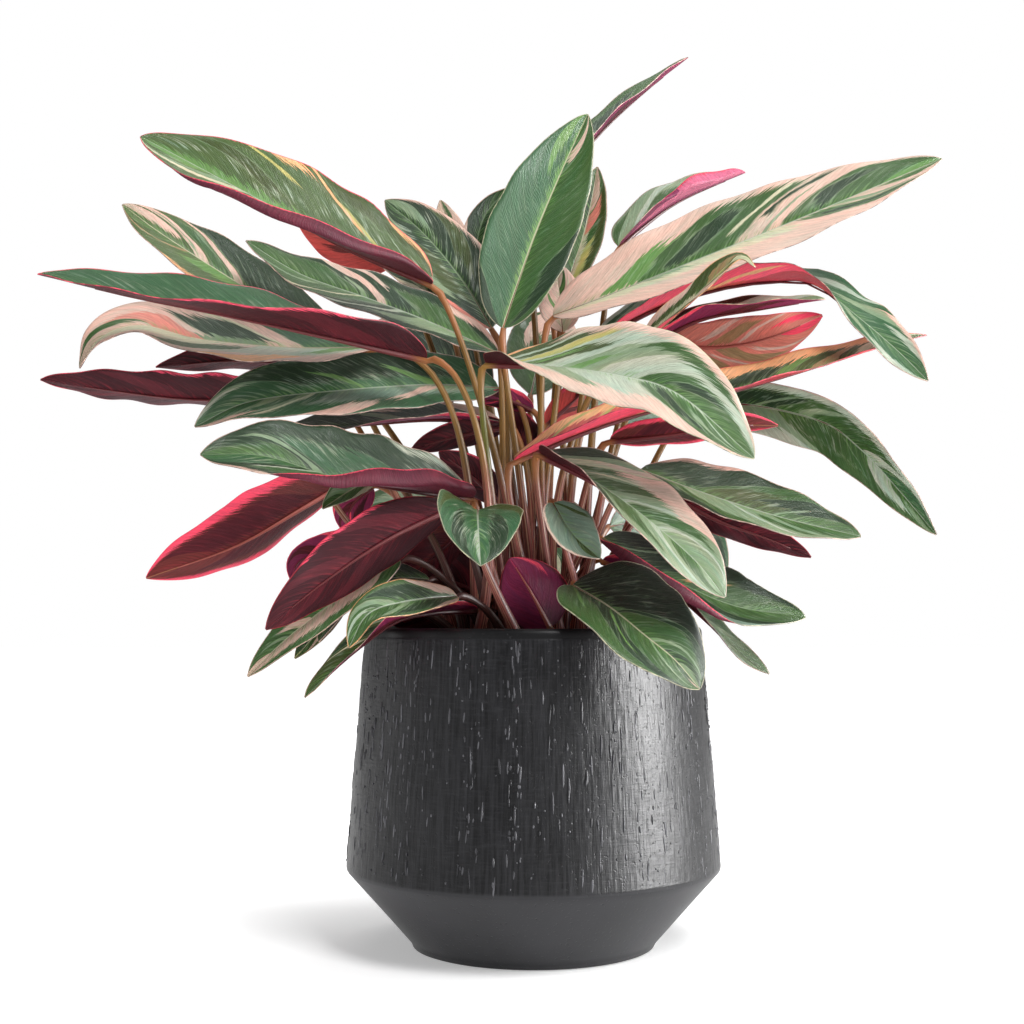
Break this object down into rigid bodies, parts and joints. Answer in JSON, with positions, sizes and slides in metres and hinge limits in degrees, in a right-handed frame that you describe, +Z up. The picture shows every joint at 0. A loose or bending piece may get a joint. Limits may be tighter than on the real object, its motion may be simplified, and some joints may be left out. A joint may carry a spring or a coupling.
{
  "type": "potted plant",
  "caption": "Potted prayer plant with long variegated lance-shaped leaves on slim stalks, in a round tapered pot with a narrow foot.",
  "frame": {"origin": "centre of the pot's flat underside, on the pot's axis", "axes": "+Z up along the pot's axis; -Y towards the picture's viewer; +X to the viewer's right"},
  "size_m": [0.6348, 0.4089, 0.6689],
  "materials": {
    "pot": "matt charcoal with a brushed, dashed surface",
    "soil": "dark loose potting soil with bark chips",
    "leaf": "satin leaf, green with cream and pink stripes above, maroon beneath"
  },
  "bodies": {
    "root": {"pot": "pot", "soil": "soil", "leaf_left_01": "leaf", "leaf_left_02": "leaf", "leaf_left_03": "leaf", "leaf_left_04": "leaf", "leaf_left_05": "leaf", "leaf_left_06": "leaf", "leaf_left_07": "leaf", "leaf_left_08": "leaf", "leaf_left_09": "leaf", "leaf_left_10": "leaf", "leaf_left_11": "leaf", "leaf_left_12": "leaf", "leaf_left_13": "leaf", "leaf_left_14": "leaf", "leaf_left_15": "leaf", "leaf_left_16": "leaf", "leaf_left_17": "leaf", "leaf_left_18": "leaf", "leaf_left_19": "leaf", "leaf_left_20": "leaf", "leaf_top_01": "leaf", "leaf_top_02": "leaf", "leaf_top_03": "leaf", "leaf_top_04": "leaf", "leaf_top_05": "leaf", "leaf_top_06": "leaf", "leaf_top_07": "leaf", "leaf_top_08": "leaf", "leaf_top_09": "leaf", "leaf_top_10": "leaf", "leaf_top_11": "leaf", "leaf_top_12": "leaf", "leaf_right_01": "leaf", "leaf_right_02": "leaf", "leaf_right_03": "leaf", "leaf_right_04": "leaf", "leaf_right_05": "leaf", "leaf_right_06": "leaf", "leaf_right_07": "leaf", "leaf_right_08": "leaf", "leaf_right_09": "leaf", "leaf_right_10": "leaf", "leaf_right_11": "leaf", "leaf_right_12": "leaf", "leaf_right_13": "leaf", "leaf_right_14": "leaf", "leaf_right_15": "leaf", "leaf_right_16": "leaf", "leaf_right_17": "leaf", "leaf_back_01": "leaf", "leaf_back_02": "leaf", "leaf_back_03": "leaf", "leaf_back_04": "leaf", "leaf_back_05": "leaf", "leaf_back_06": "leaf", "leaf_back_07": "leaf"}
  },
  "joints": []
}
